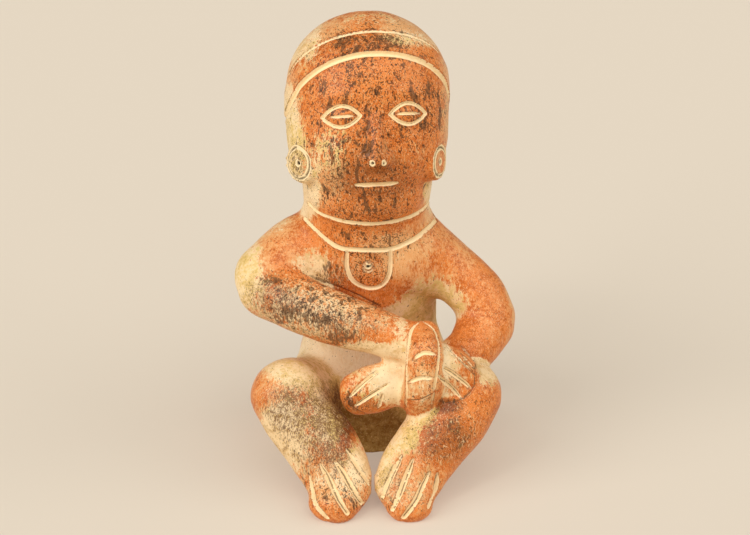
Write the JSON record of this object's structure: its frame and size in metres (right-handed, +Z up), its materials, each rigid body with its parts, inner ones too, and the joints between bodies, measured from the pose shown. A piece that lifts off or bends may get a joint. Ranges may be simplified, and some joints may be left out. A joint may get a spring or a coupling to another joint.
{
  "type": "seated terracotta figure",
  "caption": "Seated fired-clay figure with a large capped head, ear spools, arms crossed and bound at the wrists, and drawn-up legs, standing on its seat and feet.",
  "frame": {"origin": "ground level under the middle of the figure's outline", "axes": "+Z up, the figure faces -Y, +X is the figure's own left"},
  "size_m": [0.1706, 0.1713, 0.2761],
  "materials": {
    "terracotta": "burnished red slip worn to buff clay, with dark manganese specks"
  },
  "bodies": {
    "root": {"figure": "terracotta"}
  },
  "joints": []
}
